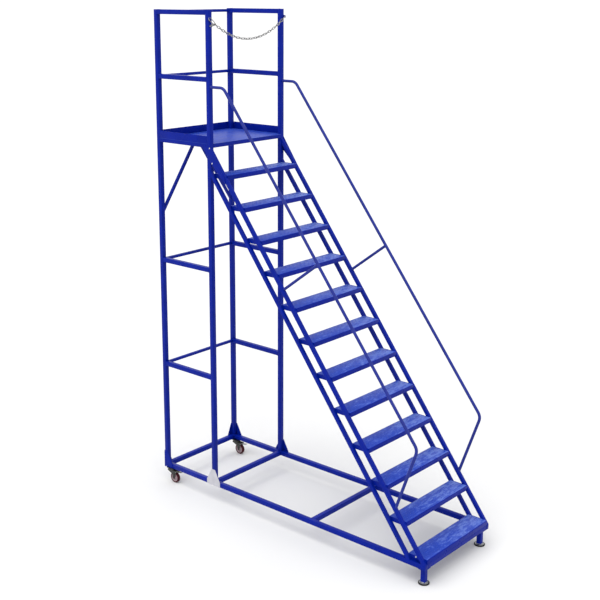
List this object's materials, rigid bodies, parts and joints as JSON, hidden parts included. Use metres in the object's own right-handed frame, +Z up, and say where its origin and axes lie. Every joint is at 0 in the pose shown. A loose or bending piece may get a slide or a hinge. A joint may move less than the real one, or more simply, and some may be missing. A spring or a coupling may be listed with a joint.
{
  "type": "rolling warehouse ladder",
  "caption": "Rolling steel stair ladder with folded treads, handrails and a railed platform closed by a chain, on braked swivel casters and foot pads.",
  "frame": {"origin": "on the floor, midway across and midway between the front of the base and the rear foot gussets", "axes": "+Z up, +Y the way a person climbs, from the stair foot to the rear of the tower, +X to the climber's right"},
  "size_m": [0.954, 2.915, 4.31],
  "materials": {
    "blue_powder_coat": "satin powder coat",
    "pale_plate": "satin",
    "foot_pad_steel": "zinc plated, satin",
    "caster_zinc": "zinc plated, satin",
    "chain_zinc": "zinc plated, bright",
    "wheel_core": "moulded, satin",
    "wheel_tyre": "matt",
    "brake_pedal": "pressed, satin"
  },
  "bodies": {
    "ladder_frame": {"post_front_left": "blue_powder_coat", "post_front_right": "blue_powder_coat", "post_rear_left": "blue_powder_coat", "post_rear_right": "blue_powder_coat", "guard_top_rail_left": "blue_powder_coat", "guard_top_rail_right": "blue_powder_coat", "guard_top_rail_rear": "blue_powder_coat", "guard_mid_rail_left": "blue_powder_coat", "guard_mid_rail_right": "blue_powder_coat", "guard_mid_rail_rear": "blue_powder_coat", "tower_upper_rail_left": "blue_powder_coat", "tower_upper_rail_right": "blue_powder_coat", "tower_upper_rail_rear": "blue_powder_coat", "tower_lower_rail_left": "blue_powder_coat", "tower_lower_rail_right": "blue_powder_coat", "tower_lower_rail_rear": "blue_powder_coat", "knee_brace_left": "blue_powder_coat", "knee_brace_right": "blue_powder_coat", "platform_deck": "blue_powder_coat", "base_rail_left": "blue_powder_coat", "base_rail_right": "blue_powder_coat", "base_cross_front": "blue_powder_coat", "base_cross_centre": "blue_powder_coat", "base_cross_tower_front": "blue_powder_coat", "base_cross_rear": "blue_powder_coat", "foot_gusset_front_left": "pale_plate", "foot_gusset_front_right": "blue_powder_coat", "foot_gusset_rear_left": "blue_powder_coat", "foot_gusset_rear_right": "blue_powder_coat", "foot_pad_left": "foot_pad_steel", "foot_pad_right": "foot_pad_steel", "stringer_front_left": "blue_powder_coat", "stringer_front_right": "blue_powder_coat", "stringer_rear_left": "blue_powder_coat", "stringer_rear_right": "blue_powder_coat", "tread_01": "blue_powder_coat", "tread_02": "blue_powder_coat", "tread_03": "blue_powder_coat", "tread_04": "blue_powder_coat", "tread_05": "blue_powder_coat", "tread_06": "blue_powder_coat", "tread_07": "blue_powder_coat", "tread_08": "blue_powder_coat", "tread_09": "blue_powder_coat", "tread_10": "blue_powder_coat", "tread_11": "blue_powder_coat", "tread_12": "blue_powder_coat", "handrail_left": "blue_powder_coat", "handrail_right": "blue_powder_coat", "caster_left_mount": "caster_zinc", "caster_right_mount": "caster_zinc"},
    "safety_chain": {"safety_chain": "chain_zinc"},
    "caster_left_swivel": {"caster_left_fork": "caster_zinc"},
    "caster_left_roller": {"caster_left_wheel": "wheel_core", "caster_left_tyre": "wheel_tyre"},
    "caster_left_brake": {"caster_left_brake_pedal": "brake_pedal"},
    "caster_right_swivel": {"caster_right_fork": "caster_zinc"},
    "caster_right_roller": {"caster_right_wheel": "wheel_core", "caster_right_tyre": "wheel_tyre"},
    "caster_right_brake": {"caster_right_brake_pedal": "brake_pedal"}
  },
  "joints": [
    {"name": "caster_left_swivel_turn", "type": "hinge", "parent": "ladder_frame", "child": "caster_left_swivel", "pos_m": [-0.437, 1.3835, 0.125], "axis": [0, 0, 1], "continuous": true},
    {"name": "caster_left_roll", "type": "hinge", "parent": "caster_left_swivel", "child": "caster_left_roller", "pos_m": [-0.437, 1.3475, 0.05], "axis": [1, 0, 0], "continuous": true},
    {"name": "caster_left_brake_press", "type": "hinge", "parent": "caster_left_swivel", "child": "caster_left_brake", "pos_m": [-0.437, 1.3235, 0.11], "axis": [1, 0, 0], "range_deg": [0, 12]},
    {"name": "caster_right_swivel_turn", "type": "hinge", "parent": "ladder_frame", "child": "caster_right_swivel", "pos_m": [0.437, 1.3835, 0.125], "axis": [0, 0, 1], "continuous": true},
    {"name": "caster_right_roll", "type": "hinge", "parent": "caster_right_swivel", "child": "caster_right_roller", "pos_m": [0.437, 1.3475, 0.05], "axis": [1, 0, 0], "continuous": true},
    {"name": "caster_right_brake_press", "type": "hinge", "parent": "caster_right_swivel", "child": "caster_right_brake", "pos_m": [0.437, 1.3235, 0.11], "axis": [1, 0, 0], "range_deg": [0, 12]},
    {"name": "safety_chain_swing", "type": "hinge", "parent": "ladder_frame", "child": "safety_chain", "pos_m": [0, 0.7865, 4.244], "axis": [1, 0, 0], "range_deg": [-60, 0]}
  ]
}
